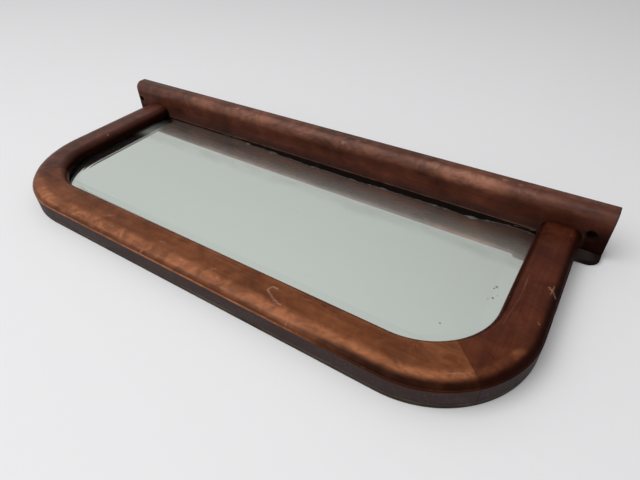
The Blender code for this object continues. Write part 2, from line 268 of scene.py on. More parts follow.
def cut(obj, cutter_name, bm):
    """Cuts the bmesh's bodies out of the object, and uses up the bmesh."""
    cutter_mesh = bpy.data.meshes.new(cutter_name)
    bmesh.ops.recalc_face_normals(bm, faces=bm.faces)
    bm.to_mesh(cutter_mesh)
    bm.free()
    cutter = bpy.data.objects.new(cutter_name, cutter_mesh)
    bpy.context.scene.collection.objects.link(cutter)
    boolean = obj.modifiers.new("Cuts", "BOOLEAN")
    boolean.operation = "DIFFERENCE"
    boolean.solver = "EXACT"
    boolean.object = cutter
    bpy.context.view_layer.update()
    graph = bpy.context.evaluated_depsgraph_get()
    mesh = bpy.data.meshes.new_from_object(obj.evaluated_get(graph), depsgraph=graph)
    obj.modifiers.clear()
    obj.data = mesh
    bpy.data.objects.remove(cutter, do_unlink=True)
    mesh.shade_smooth()
    mesh.set_sharp_from_angle(angle=math.radians(38))


def set_material(obj, material):
    obj.data.materials.clear()
    obj.data.materials.append(material)


def register(obj, piece):
    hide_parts(piece)
    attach(obj, "root")


# ---------------------------------------------------------------------------------------------
# Node trees


class Tree:
    """Short names for building a material's node tree."""

    def __init__(self, name):
        self.material = bpy.data.materials.new(name)
        self.material.use_nodes = True
        self.tree = self.material.node_tree
        self.tree.nodes.clear()
        self.out = self.node("ShaderNodeOutputMaterial")
        self.object_place = self.node("ShaderNodeTexCoord").outputs["Object"]

    def node(self, kind, **settings):
        made = self.tree.nodes.new(kind)
        for key, value in settings.items():
            setattr(made, key, value)
        return made

    def feed(self, socket, value):
        if isinstance(value, bpy.types.NodeSocket):
            self.tree.links.new(value, socket)
        elif isinstance(value, (tuple, list)) and len(value) == 3 and socket.type == "RGBA":
            socket.default_value = (*value, 1.0)
        else:
            socket.default_value = value

    def math(self, operation, a, b=0.0, clamp=False):
        made = self.node("ShaderNodeMath", operation=operation, use_clamp=clamp)
        self.feed(made.inputs[0], a)
        self.feed(made.inputs[1], b)
        return made.outputs[0]

    def add(self, total, *others, clamp=False):
        """Sum of any number of terms. Clamp applies to the last step."""
        for other in others[:-1]:
            total = self.math("ADD", total, other)
        return self.math("ADD", total, others[-1], clamp)

    def multiply(self, total, *others):
        for other in others:
            total = self.math("MULTIPLY", total, other)
        return total

    def weighted(self, *pairs):
        """Sum of (value, weight) pairs."""
        return self.add(*[self.multiply(value, weight) for value, weight in pairs])

    def invert(self, value):
        return self.math("SUBTRACT", 1.0, value)

    def coords(self, scale, offset, rotation=(0, 0, 0)):
        """Object coordinates at `scale` features per metre, one number or one per axis."""
        made = self.node("ShaderNodeMapping")
        self.feed(made.inputs["Vector"], self.object_place)
        made.inputs["Scale"].default_value = scale if isinstance(scale, tuple) else (scale,) * 3
        made.inputs["Location"].default_value = offset
        made.inputs["Rotation"].default_value = rotation
        return made.outputs[0]

    def noise(
        self, scale, offset=(0, 0, 0), rotation=(0, 0, 0), detail=3.0, roughness=0.5, distortion=0.0
    ):
        vector = self.coords(scale, offset, rotation)
        made = self.node("ShaderNodeTexNoise")
        self.feed(made.inputs["Vector"], vector)
        made.inputs["Scale"].default_value = 1.0
        made.inputs["Detail"].default_value = detail
        made.inputs["Roughness"].default_value = roughness
        made.inputs["Distortion"].default_value = distortion
        return made.outputs[0]

    def voronoi(self, scale, offset):
        vector = self.coords(scale, offset)
        made = self.node("ShaderNodeTexVoronoi")
        self.feed(made.inputs["Vector"], vector)
        made.inputs["Scale"].default_value = 1.0
        return made.outputs["Distance"]

    def place(self):
        """Separate X, Y and Z outputs of the object coordinates, in metres."""
        made = self.node("ShaderNodeSeparateXYZ")
        self.feed(made.inputs[0], self.node("ShaderNodeTexCoord").outputs["Object"])
        return made.outputs

    def range(self, value, span, to=(0.0, 1.0), linear=False):
        kind = "LINEAR" if linear else "SMOOTHSTEP"
        made = self.node("ShaderNodeMapRange", interpolation_type=kind)
        self.feed(made.inputs["Value"], value)
        for key, number in zip(("From Min", "From Max", "To Min", "To Max"), (*span, *to)):
            made.inputs[key].default_value = number
        return made.outputs[0]

    def mix(self, factor, a, b, blend="MIX"):
        made = self.node("ShaderNodeMix", data_type="RGBA", blend_type=blend)
        self.feed(made.inputs[0], factor)
        self.feed(made.inputs[6], a)
        self.feed(made.inputs[7], b)
        return made.outputs[2]

    def tinted(self, colour, tint):
        return self.mix(1.0, colour, tint, "MULTIPLY")

    def grey(self, value):
        made = self.node("ShaderNodeCombineColor")
        for socket in made.inputs[:3]:
            self.feed(socket, value)
        return made.outputs[0]

    def ramp(self, value, stops):
        made = self.node("ShaderNodeValToRGB")
        self.feed(made.inputs[0], value)
        elements = made.color_ramp.elements
        while len(elements) < len(stops):
            elements.new(0.5)
        for element, (place, colour) in zip(elements, stops):
            element.position = place
            element.color = (*colour, 1.0)
        return made.outputs[0]

    def attribute(self, name):
        return self.node("ShaderNodeAttribute", attribute_name=name).outputs["Fac"]

    def bump(self, height, strength, distance, normal=None):
        """Bump normal. Distance is in metres."""
        made = self.node("ShaderNodeBump")
        made.inputs["Strength"].default_value = strength
        made.inputs["Distance"].default_value = distance
        self.feed(made.inputs["Height"], height)
        if normal is not None:
            self.feed(made.inputs["Normal"], normal)
        return made.outputs[0]

    def shader(self, **inputs):
        """A Principled shader. Underscores in the names stand for spaces."""
        made = self.node("ShaderNodeBsdfPrincipled")
        for key, value in inputs.items():
            self.feed(made.inputs[key.replace("_", " ")], value)
        return made.outputs[0]

    def finish(self, shader):
        self.tree.links.new(shader, self.out.inputs["Surface"])
        return self.material


def times(colour, factor):
    return tuple(min(1, c * factor) for c in colour)


def along(axis, across, length):
    """Noise scale for features `length` mm along the axis and `across` mm across it."""
    return tuple(1000.0 / (length if name == axis else across) for name in "XYZ")


def seed_offset(seed):
    return (seed * 3.1, seed * 1.7, seed * 2.3)


# ---------------------------------------------------------------------------------------------
# Wood, steel and glass


def wood(
    name, axis, dark, mid, light, worn, seed, roughness=0.34, specular=0.13, patchy=0.28
):
    """Old stained hardwood under worn varnish, with its grain along the axis. Painted
    attributes: wear (rubbed, and on the base rail partly a painted sheen), wall (dull dusty
    side), grime_and_shade (dirt, and painted shade in corners, recesses and along edges), mark
    (bare scratch), stain (dark patch), dull (no gloss left), shade (darker and redder)."""
    tree = Tree(name)
    offset = seed_offset(seed)
    clouds_offset = (offset[2], offset[0], offset[1])
    smear_offset = (offset[1], offset[2], offset[0])

    def grain(across, length, place=offset, **settings):
        return tree.noise(along(axis, across=across, length=length), place, **settings)

    figure = grain(across=9, length=110, detail=4, roughness=0.55, distortion=0.6)
    fibre = grain(across=0.9, length=26, detail=5, roughness=0.62, distortion=0.2)
    streak = grain(across=2.6, length=70, detail=4, roughness=0.6, distortion=0.4)
    blotch = tree.noise(30, offset, detail=4, roughness=0.6)
    smear = grain(
        across=16, length=38, place=smear_offset, detail=5, roughness=0.65, distortion=0.8
    )
    pore = tree.voronoi(along(axis, across=0.55, length=5.5), offset)
    pores = tree.range(pore, span=(0.06, 0.2), to=(1.0, 0.0))
    speck = tree.noise(700, offset, detail=3, roughness=0.6)
    clouds = tree.noise(
        (85, 105, 105), clouds_offset, detail=5, roughness=0.62, distortion=0.9
    )

    # stained colour, patchy and pored
    tone = tree.weighted((figure, 0.27), (streak, 0.16), (fibre, 0.22), (clouds, 0.35))
    colour = tree.ramp(tone, stops=[(0.36, dark), (0.5, mid), (0.66, light)])
    patches = tree.range(blotch, span=(0.3, 0.7), to=(1 - patchy, 1 + patchy), linear=True)
    colour = tree.tinted(colour, tree.grey(patches))
    redder = tree.tinted(colour, (0.47, 0.40, 0.62))
    colour = tree.mix(tree.attribute("shade"), colour, redder)
    colour = tree.mix(tree.multiply(pores, 0.45), colour, times(dark, 0.25))

    # rubbed places, with a ragged edge
    wear = tree.attribute("wear")
    ragged = tree.weighted((smear, 0.32), (fibre, 0.14), (clouds, 0.54))
    ragged = tree.range(ragged, span=(0.36, 0.62), to=(-0.5, 0.5), linear=True)
    rubbed = tree.add(wear, tree.multiply(ragged, wear), 0.0, clamp=True)
    lightness = tree.range(clouds, span=(0.36, 0.64))
    worn_colour = tree.mix(lightness, times(worn, 0.8), times(worn, 1.22))
    colour = tree.mix(tree.multiply(rubbed, 0.85), colour, worn_colour)

    # dusty walls
    wall = tree.attribute("wall")
    specks = tree.range(speck, span=(0.35, 0.7))
    dusty = tree.mix(specks, (0.024, 0.014, 0.013), (0.05, 0.034, 0.033))
    dusty = tree.mix(tree.range(smear, span=(0.35, 0.7)), dusty, (0.032, 0.021, 0.021))
    colour = tree.mix(tree.multiply(wall, 0.95), colour, dusty)

    # dirt and painted shade, stains and bare scratches
    grime_and_shade = tree.attribute("grime_and_shade")
    colour = tree.mix(grime_and_shade, colour, (0.0115, 0.0032, 0.0022))
    stain = tree.attribute("stain")
    colour = tree.mix(tree.multiply(stain, 0.8), colour, (0.010, 0.006, 0.005))
    mark = tree.attribute("mark")
    colour = tree.mix(mark, colour, (0.42, 0.23, 0.16))

    rough = tree.add(
        roughness,
        tree.range(smear, span=(0.3, 0.7), to=(-0.06, 0.10), linear=True),
        tree.multiply(rubbed, 0.10),
        tree.multiply(wall, 0.22),
        tree.multiply(mark, 0.3),
        clamp=True,
    )
    dull = tree.attribute("dull")
    gleam = tree.invert(tree.multiply(dull, 0.8))
    gleam = tree.multiply(gleam, tree.invert(tree.multiply(grime_and_shade, 0.9)))

    normal = tree.bump(
        tree.weighted((fibre, 0.5), (pores, -0.5)), strength=0.35, distance=0.00006
    )
    ripple = tree.noise(160, offset)
    normal = tree.bump(ripple, strength=0.25, distance=0.00025, normal=normal)
    normal = tree.bump(smear, strength=0.2, distance=0.0004, normal=normal)
    return tree.finish(
        tree.shader(
            Base_Color=colour,
            Roughness=rough,
            Normal=normal,
            Specular_IOR_Level=tree.multiply(gleam, specular),
            Coat_Weight=tree.multiply(tree.invert(wall), gleam, 0.03),
            Coat_Roughness=0.2,
        )
    )


def plain_wood(name, axis, dark, light, seed, roughness=0.75):
    """Bare wood, with painted attributes wear (paler, and a painted highlight along the back
    board's top edge) and grime_and_shade (darker: dirt, and painted shade).
    """
    tree = Tree(name)
    offset = seed_offset(seed)
    fibre_scale = along(axis, across=0.8, length=18)
    fibre = tree.noise(fibre_scale, offset, detail=5, roughness=0.62, distortion=0.2)
    figure_scale = along(axis, across=7, length=90)
    figure = tree.noise(figure_scale, offset, detail=4, roughness=0.55, distortion=0.5)
    darkening = tree.noise(45, offset, detail=5, roughness=0.65)
    tone = tree.weighted((fibre, 0.4), (figure, 0.6))
    colour = tree.ramp(tone, stops=[(0.36, dark), (0.64, light)])
    dirty = tree.range(darkening, span=(0.42, 0.72), to=(0.0, 0.6))
    colour = tree.mix(dirty, colour, times(dark, 0.4))
    colour = tree.mix(tree.attribute("wear"), colour, times(light, 2.2))
    colour = tree.mix(tree.attribute("grime_and_shade"), colour, (0.01, 0.008, 0.007))
    rough_range = (roughness - 0.08, roughness + 0.1)
    rough = tree.range(darkening, span=(0.3, 0.7), to=rough_range, linear=True)
    normal = tree.bump(fibre, strength=0.5, distance=0.00012)
    normal = tree.bump(darkening, strength=0.2, distance=0.0004, normal=normal)
    gleam = tree.multiply(tree.invert(tree.attribute("grime_and_shade")), 0.3)
    return tree.finish(
        tree.shader(Base_Color=colour, Roughness=rough, Normal=normal, Specular_IOR_Level=gleam)
    )


def steel(name, tint, rust):
    """Scratched steel with rust spots."""
    tree = Tree(name)
    scratches = tree.noise((300, 2600, 2600), (1, 4, 2), detail=4, roughness=0.6)
    spots = tree.noise(900, (3, 1, 2), detail=4, roughness=0.65)
    rusty = tree.range(spots, span=(0.45, 0.62))
    clean = tree.mix(scratches, times(tint, 0.7), tint)
    relief = tree.add(scratches, spots)
    return tree.finish(
        tree.shader(
            Base_Color=tree.mix(rusty, clean, rust),
            Metallic=tree.range(rusty, span=(0, 1), to=(1.0, 0.25), linear=True),
            Roughness=tree.range(rusty, span=(0, 1), to=(0.38, 0.75), linear=True),
            Normal=tree.bump(relief, strength=0.3, distance=0.00005),
        )
    )


def plan_x(x):
    """World metres for a plan x."""
    return (ORIGIN_X + x) * MM


def rail_y(distance):
    """World metres for a distance past the base rail's front face."""
    return (ORIGIN_Y + RAIL_FRONT + distance) * MM


def glass_material():
    """Clear old glass under a thin film of dust, with a painted grey sheen by the base rail."""
    tree = Tree("old_plate_glass")
    dust = tree.noise(55, (4, 2, 1), detail=6, roughness=0.68)
    wipe = tree.noise(
        (14, 70, 30), (1, 2, 1), rotation=(0, 0, 0.6), detail=5, roughness=0.6, distortion=0.5
    )
    amount = tree.weighted((dust, 0.6), (wipe, 0.4))
    amount = tree.range(amount, span=(0.3, 0.7), to=(0.002, 0.016), linear=True)

    # a mottled painted sheen by the base rail: grey film standing in for the grey look of the
    # rail's reflection
    place_y = tree.place()["Y"]
    mottle = tree.noise((38, 70, 50), (7, 2, 3), detail=2)
    shift = tree.range(mottle, span=(0.3, 0.7), to=(-0.0025, 0.0025), linear=True)
    y = tree.add(place_y, shift)
    reflection_sheen = tree.multiply(
        tree.range(y, span=(rail_y(-30), rail_y(-12)), to=(0.185, 0.01), linear=True),
        tree.range(y, span=(rail_y(-44), rail_y(-31))),
        tree.range(mottle, span=(0.3, 0.7), to=(0.75, 1.25), linear=True),
    )
    # little film right against the rail
    clearing = tree.range(place_y, span=(rail_y(-11), rail_y(-6)), to=(1.0, 0.15))
    amount = tree.multiply(tree.add(amount, reflection_sheen), clearing)

    wave = tree.noise(12, detail=1)
    clear = tree.shader(
        Base_Color=(0.958, 0.984, 0.962),
        Roughness=0.0,
        IOR=1.5,
        Transmission_Weight=1.0,
        Specular_Tint=(0.0, 0.0, 0.0),
        Normal=tree.bump(wave, strength=0.02, distance=0.0004),
    )
    dust_and_sheen_film = tree.shader(Base_Color=(0.55, 0.56, 0.53), Roughness=0.9, Specular_IOR_Level=0.0)
    both = tree.node("ShaderNodeMixShader")
    for socket, value in zip(both.inputs, (amount, clear, dust_and_sheen_film)):
        tree.feed(socket, value)
    return tree.finish(both.outputs[0])


# Small lost spots in the silvering: plan x, plan y, radius
SILVER_SPOTS = (
    (372.5, 97, 1.1), (371.5, 95, 0.55), (373, 87, 0.9), (371, 85, 0.45), (375, 90.5, 0.4),
    (227, 97, 0.55), (271, 47, 0.5), (354.5, 53.5, 0.7), (310, 120, 0.35), (120, 60, 0.3),
)


def silver_material():
    tree = Tree("mirror_silvering")
    small = tree.noise(900, (3, 7, 2), roughness=0.6)
    ragged = tree.noise((130, 420, 100), (2, 5, 2), detail=5, roughness=0.65)
    blotch = tree.noise((75, 110, 75), (6, 1, 2), detail=5, roughness=0.7)
    place = tree.place()
    x, y = place["X"], place["Y"]

    # the silvering is painted black in a ragged band along the base rail's side, but hardly at the
    # plate's two ends
    left_span, right_span = (plan_x(70), plan_x(190)), (plan_x(330), plan_x(384))
    left_end = tree.range(x, span=left_span, to=(0.0095, 0.0), linear=True)
    right_end = tree.range(x, span=right_span, to=(0.0, 0.0085))
    limit = tree.add(left_end, right_end, rail_y(-6.6))
    depth = tree.math("SUBTRACT", y, limit)
    ragged = tree.range(ragged, span=(0.3, 0.7), to=(-0.0016, 0.0016), linear=True)
    depth = tree.add(depth, ragged)
    blackened = tree.range(depth, span=(0.0, 0.0006))
    blotch = tree.range(blotch, span=(0.35, 0.68), to=(-0.004, 0.0085), linear=True)
    fringe = tree.range(tree.add(depth, blotch), span=(0.004, 0.0065))
    blackened = tree.math("MAXIMUM", blackened, tree.multiply(fringe, 0.7))

    for spot_x, spot_y, radius in SILVER_SPOTS:
        across = tree.math("SUBTRACT", x, plan_x(spot_x))
        down = tree.math("SUBTRACT", y, (ORIGIN_Y + spot_y) * MM)
        squares = tree.add(tree.multiply(across, across), tree.multiply(down, down))
        distance = tree.math("SQRT", squares)
        uneven = 0.35 * radius * MM
        wobble = tree.range(small, span=(0.3, 0.7), to=(-uneven, uneven), linear=True)
        distance = tree.add(distance, wobble)
        spot = tree.range(distance, span=(uneven, 1.15 * radius * MM), to=(0.6, 0.0))
        blackened = tree.math("MAXIMUM", blackened, spot)

    # a faint greenish painted line beside the top rail's bevel, standing in for the bevel edge's
    # reflection
    bevel_glint_y = (GLASS_LOW[1] + BEVEL_WIDTH + 2.2) * MM
    bevel_glint_distance = tree.math("ABSOLUTE", tree.math("SUBTRACT", y, bevel_glint_y))
    bevel_glint = tree.range(bevel_glint_distance, span=(0.0002, 0.0012), to=(1.0, 0.0))
    fading = tree.range(x, span=(plan_x(60), plan_x(150)), to=(0.34, 0.10))
    bevel_glint = tree.multiply(bevel_glint, fading)
    dark = tree.mix(small, (0.003, 0.002, 0.002), (0.016, 0.013, 0.010))
    colour = tree.mix(bevel_glint, (0.885, 0.924, 0.885), (0.62, 0.72, 0.63))
    return tree.finish(
        tree.shader(
            Base_Color=tree.mix(blackened, colour, dark),
            Metallic=tree.invert(blackened),
            Roughness=tree.range(blackened, span=(0, 1), to=(0.0, 0.7), linear=True),
            Specular_IOR_Level=tree.multiply(tree.invert(blackened), 0.5),
        )
    )


top_wood = wood(
    "top_rail_wood", "X", seed=1.0, specular=0.10,
    dark=(0.070, 0.0185, 0.0062), mid=(0.130, 0.0375, 0.0122),
    light=(0.194, 0.064, 0.0215), worn=(0.322, 0.118, 0.052),
)
left_wood = wood(
    "left_stile_wood", "Y", seed=2.0,
    dark=(0.066, 0.0190, 0.0072), mid=(0.122, 0.0375, 0.0145),
    light=(0.178, 0.061, 0.024), worn=(0.285, 0.116, 0.058),
)
right_wood = wood(
    "right_stile_wood", "Y", seed=3.0, specular=0.09,
    dark=(0.054, 0.0118, 0.0046), mid=(0.090, 0.0205, 0.0078),
    light=(0.134, 0.0350, 0.0125), worn=(0.26, 0.094, 0.036),
)
rail_wood = wood(
    "base_rail_wood", "X", seed=4.0, roughness=0.36, specular=0.2, patchy=0.40,
    dark=(0.044, 0.0135, 0.0078), mid=(0.076, 0.0225, 0.0128),
    light=(0.118, 0.0370, 0.0175), worn=(0.29, 0.120, 0.072),
)
board_wood = plain_wood(
    "back_board_wood", "X", dark=(0.030, 0.020, 0.015), light=(0.085, 0.058, 0.042), seed=5.0
)
spline_wood = plain_wood(
    "spline_wood", "X", dark=(0.30, 0.18, 0.09), light=(0.46, 0.30, 0.16), seed=6.0,
    roughness=0.65,
)
screw_steel = steel(
    "tarnished_screw_steel", tint=(0.36, 0.33, 0.30), rust=(0.055, 0.030, 0.018)
)
brad_steel = steel("tarnished_brad_steel", tint=(0.40, 0.37, 0.33), rust=(0.07, 0.038, 0.022))

# ---------------------------------------------------------------------------------------------
# Moulding: a dense section, swept along each member


def moulding_section():
    """Closed section of (inset, height), outer wall first, with slightly rounded edges."""
    corner = 0.35  # rounding of the lower edges
    edge = 0.3  # rounding of the arris
    bottom = MOULDING_BOTTOM
    run = OUTER_ROUND - QUIRK
    inner, rabbet = MEMBER_WIDTH, MEMBER_WIDTH - RABBET
    points = arc_points((corner, bottom + corner), corner, (270, 180), 4)
    points += line_points((0, bottom + corner), (0, ARRIS - edge), 14, ease=True)
    points += arc_points((edge, ARRIS - edge), edge, (180, 95), 5)
    points += line_points((edge, ARRIS), (QUIRK + 0.06, ARRIS + 0.02), 2)
    points += arc_points((QUIRK + run, ARRIS), run, (180, 90), 26, second_radius=CREST - ARRIS)
    points += line_points((OUTER_ROUND, CREST), (FLAT_END, CREST), 14)
    points += arc_points((FLAT_END, CREST - INNER_ROUND), INNER_ROUND, (90, 0), 22)
    points += line_points((inner, CREST - INNER_ROUND), (inner, LIP + corner), 4)
    points += arc_points((inner - corner, LIP + corner), corner, (0, -90), 4)
    points += line_points((inner - corner, LIP), (rabbet, LIP), 4)
    points += line_points((rabbet, LIP), (rabbet, bottom), 4)
    points += line_points((rabbet, bottom), (corner, bottom), 6)
    return np.array(points)


SECTION = moulding_section()
COUNT = len(SECTION)
# Section points on the outer wall, on the arris and on the outer round-over
WALL_POINT, ARRIS_POINT, ROUND_POINT = 16, 20, 40


def corner_points(radii, turn):
    """Plan places of the section on the left corner. Turn 0 is the stile, 90 degrees the top
    rail. Outer and inner round-overs have their own centres, and the flat joins them."""
    outer, inner = radii
    inset = SECTION[:, 0]

    def outer_at(inset):
        radius = outer - inset
        return np.stack([outer - radius * math.cos(turn), outer - radius * math.sin(turn)], -1)

    def inner_at(inset):
        centre = MEMBER_WIDTH + inner
        radius = centre - inset
        # turned a little further round, so that the mitre ring lies in a plane at 45 degrees
        extra = np.arcsin(TOP_EXTRA / (radius * math.sqrt(2))) * math.sin(2 * turn)
        x = centre - radius * np.cos(turn + extra)
        y = centre + TOP_EXTRA - radius * np.sin(turn + extra)
        return np.stack([x, y], -1)

    part = np.clip((inset - OUTER_ROUND) / (FLAT_END - OUTER_ROUND), 0, 1)[:, None]
    flat_start = outer_at(np.full(COUNT, OUTER_ROUND))
    flat_end = inner_at(np.full(COUNT, FLAT_END))
    flat = flat_start * (1 - part) + flat_end * part
    out = np.where((inset <= OUTER_ROUND)[:, None], outer_at(inset), flat)
    return np.where((inset >= FLAT_END)[:, None], inner_at(inset), out)


def flip(points):
    """Left side to right side."""
    out = points.copy()
    out[:, 0] = LENGTH - out[:, 0]
    return out


def top_rail_rings():
    """Rings of plan places from the left mitre to the right one."""
    mitre, square = math.pi / 4, math.pi / 2
    rings = [corner_points(LEFT_RADII, turn) for turn in np.linspace(mitre, square, 70)]
    first, last = rings[-1], flip(corner_points(RIGHT_RADII, square))
    rings += [first * (1 - part) + last * part for part in np.linspace(0, 1, 330)[1:-1]]
    for turn in np.linspace(square, mitre, 60):
        rings.append(flip(corner_points(RIGHT_RADII, turn)))
    return rings


def stile_rings(radii):
    """Rings of plan places from the base rail to the mitre, as on the left side."""
    rail_gap = 0.12
    start = np.stack([SECTION[:, 0], np.full(COUNT, RAIL_FRONT - rail_gap)], -1)
    joint = corner_points(radii, 0.0)
    rings = [start * (1 - part) + joint * part for part in np.linspace(0, 1, 110)[:-1]]
    return rings + [corner_points(radii, turn) for turn in np.linspace(0, math.pi / 4, 64)]


def member_rings(member):
    if member == "top_rail":
        return top_rail_rings()
    if member == "left_stile":
        return stile_rings(LEFT_RADII)
    return [flip(ring) for ring in stile_rings(RIGHT_RADII)]


# How each member is worn. inner_rub and arris_rub are amounts of wear on the inner round-over
# and the arris. dark_to is how high painted shade reaches on the wall against the mirror. Each
# scratch is a plan polyline, half width, depth and paleness.
CURL = arc_points((268, 16), 3.0, (60, 200), 6, closed=True)
MEMBERS = {
    "top_rail": dict(
        seed=1.0, inner_rub=0.26, arris_rub=0.74, dark_to=11.8, nicks=34,
        scratches=[
            (CURL + [(267, 14), (272.5, 11), (278, 9.5)], 0.62, 0.08, 0.8),
            ([(372, 16.5), (379, 21)], 0.45, 0.05, 0.4),
            ([(126, 14), (129.5, 15)], 0.5, 0.05, 0.35),
            ([(178, 13), (180.5, 13.5)], 0.5, 0.06, 0.4),
        ],
    ),
    "left_stile": dict(
        seed=2.0, inner_rub=0.0, arris_rub=0.34, dark_to=15.8, nicks=14,
        scratches=[([(12, 52), (13.5, 60)], 0.4, 0.04, 0.25)],
    ),
    "right_stile": dict(
        seed=3.0, inner_rub=0.10, arris_rub=0.34, dark_to=11.2, nicks=14,
        scratches=[
            ([(398.5, 99), (401.5, 96.5), (403.5, 93.5)], 0.5, 0.08, 0.75),
            ([(401, 101.5), (400.5, 94)], 0.4, 0.06, 0.5),
            ([(399.5, 70), (400.5, 69.5)], 0.45, 0.08, 0.8),
            ([(384.5, 60), (387, 84), (386.5, 104)], 0.4, 0.03, 0.12),
        ],
    ),
}


def shape_by_hand(rings, points, inset, height, top, seed):
    """Moves the points off the exact section. Returns how far each is knocked, 0 to 1."""
    centre = np.repeat([ring[ARRIS_POINT] for ring in rings], COUNT, axis=0)
    centre_line = np.column_stack([centre, np.zeros(len(centre))])
    directions = [ring[ROUND_POINT] - ring[WALL_POINT] for ring in rings]
    inward = np.repeat([d / np.linalg.norm(d) for d in directions], COUNT, axis=0)

    # the top undulates, and its flat is slightly crowned
    wander = fractal(centre_line, 46, seed=seed)
    chatter = fractal(points, 9, seed=seed + 3)
    lowered = np.minimum(0.10 * wander + 0.07 * chatter, 0.0) - 0.10
    crown = 0.096 * np.clip(1 - ((inset - 14.0) / 5.6) ** 2, 0, 1)
    points[:, 2] += np.where(top, lowered + crown, 0)

    # the outer wall wanders inwards
    wall_noise = fractal(np.column_stack([centre, height * 0.3]), 30, seed=seed + 5)
    near_wall = (inset < 0.9) & (height > MOULDING_BOTTOM + 0.5) & (height < ARRIS + 1.5)
    points[:, :2] += inward * np.where(near_wall, np.abs(0.10 * wall_noise), 0)[:, None]

    # small knocks on the arris
    knock = rise(fractal(centre_line, 7.0, seed=seed + 9), 0.22, 0.5)
    knock = knock * band(height, ARRIS - 0.6, ARRIS + 0.35, 0.3) * (inset < 1.1)
    points[:, 2] -= 0.22 * knock
    points[:, :2] += inward * (0.28 * knock)[:, None]
    return knock


def member_crevice(at):
    """Painted shade along the foot of the outer round-over, wider towards the right corner."""
    reach = 2.3 + 1.9 * at.far_right + 0.7 * at.patch * (1 - 0.6 * at.far_right)
    soft = 0.7 + 1.2 * at.far_right
    crevice = rise(at.inset, 0.40, 0.62) * fall(at.inset, reach - soft, reach + soft + 0.2)
    uneven = 0.50 * at.fine * (1 - 0.75 * at.far_right)
    return crevice * at.top * np.clip(0.62 + 0.33 * at.far_right + uneven, 0.2, 1.15)


def member_wear(member, look, at):
    # outer round-over: rubbed along the top rail and round both corners, unevenly
    if member == "right_stile":
        amount = 0.07 + 0.43 * fall(at.y, 20, 44)
    else:
        amount = 0.12 + 0.66 * fall(at.y - at.x, -52, 14)
    outer = np.where(at.top, rise(at.inset, 0.4, 1.6) * fall(at.inset, 7.0, 11.5), 0)
    uneven = 0.55 * at.patch * np.sqrt(amount) + 0.25 * at.fine * amount
    wear = outer * np.clip(amount + uneven, 0, 1.1)

    # inner round-over
    if look["inner_rub"]:
        inner = np.where(at.top, rise(at.inset, 19.0, 21.2) * fall(at.inset, 23.4, 25.2), 0)
        wear = np.maximum(wear, inner * np.clip(look["inner_rub"] + 0.4 * at.patch, 0, 0.5))

    # flat
    flat = np.where(at.top, band(at.inset, 11, 19, 2.5), 0)
    wear = np.maximum(wear, flat * np.clip(0.10 + 0.35 * at.patch, 0, 0.3))
    wear = np.maximum(wear, at.knock * 0.6)

    # no wear under the painted shade, and less at the far right
    wear = wear * np.clip(1 - 0.9 * at.crevice, 0, 1) * (1 - 0.5 * rise(at.x, 358, 392))

    # arris
    arris_rub = look["arris_rub"] * (1 - 0.85 * at.far_right)
    arris_rub = np.clip(arris_rub + 0.5 * at.fine * (1 - at.far_right), 0.04, 0.9)
    wear = np.maximum(wear, at.arris_line * arris_rub)

    if member == "right_stile":
        # rubbed golden where the corner starts
        rub = band(at.inset, 4.8, 8.0, 1.5) * at.top * band(at.y, 8, 44, 10)
        wear = np.maximum(wear, rub * np.clip(0.22 + 0.9 * at.patch + 0.5 * at.fine, 0, 0.6))
    return np.clip(wear, 0, 1)


def member_grime_and_shade(member, look, at):
    # Painted shade along the outer round-over's foot, on the arris towards the right, low on the
    # inner wall against the mirror, under the lip and at the mirror's edge; the stiles are darker
    # next to the base rail.
    dark_to = look["dark_to"]
    arris_shade = at.arris_line * np.sqrt(at.far_right)
    inner_wall = (at.inset > MEMBER_WIDTH - 3.2) * fall(at.height, dark_to - 3.2, dark_to)
    under = (at.inset > 0.6) & (at.height < LIP + 0.2)
    # a thin painted shadow line against the mirror
    rim = rise(at.inset, 21.9, 23.4) * at.top * (0.22 + 0.45 * rise(at.x, 150, 330))
    darkening = at.crevice * (0.50 + 0.46 * at.far_right) + arris_shade * 0.85
    darkening = darkening + inner_wall * 0.93 + under * 0.5 + rim
    if member != "top_rail":
        by_rail = rise(at.y, RAIL_FRONT - 5.5, RAIL_FRONT - 0.6)
        darkening = darkening + by_rail * np.clip(0.75 + 0.5 * at.fine, 0, 1) * 0.55
    return np.clip(darkening, 0, 0.95)


def member_shade(member, at):
    """The stiles' darker red. The left one's starts round the corner, on the top rail, with
    no step at the mitre."""
    if member == "right_stile":
        return 0.12 + 0.52 * rise(at.y, 14, 70)
    return rise(at.y - at.x, -58, 26) * np.clip(1 + 0.10 * at.patch, 0, 1)


def scratch_member(look, at, grime_and_shade):
    """Cuts scratches and scattered nicks into the points and darkens some with dirt. Returns
    how bare each point is."""
    points, plan = at.points, at.points[:, :2]
    mark = np.zeros(len(points))
    for line, half_width, depth, paleness in look["scratches"]:
        distance = polyline_distance(plan, line)
        groove = fall(distance, half_width * 0.35, half_width) * at.top
        mark = np.maximum(mark, groove * paleness * np.clip(0.8 + 0.8 * at.fine, 0.15, 1.1))
        points[:, 2] -= groove * depth

    rng = np.random.default_rng(int(look["seed"] * 100))
    for _ in range(look["nicks"]):
        spot = points[rng.integers(len(points))]
        if spot[2] < ARRIS + 0.5:
            continue
        heading = rng.uniform(0, math.pi)
        length = rng.uniform(0.4, 3.4)
        end = spot[:2] + length * np.array([math.cos(heading), math.sin(heading)])
        half_width = rng.uniform(0.35, 0.7)
        distance = segment_distance(plan, spot[:2], end)
        nick = fall(distance, half_width * 0.3, half_width) * at.top
        points[:, 2] -= nick * rng.uniform(0.04, 0.16)
        if rng.random() < 0.55:
            mark = np.maximum(mark, nick * rng.uniform(0.15, 0.6))
        else:
            grime_and_shade[:] = np.maximum(grime_and_shade, nick * rng.uniform(0.15, 0.5))
    return mark


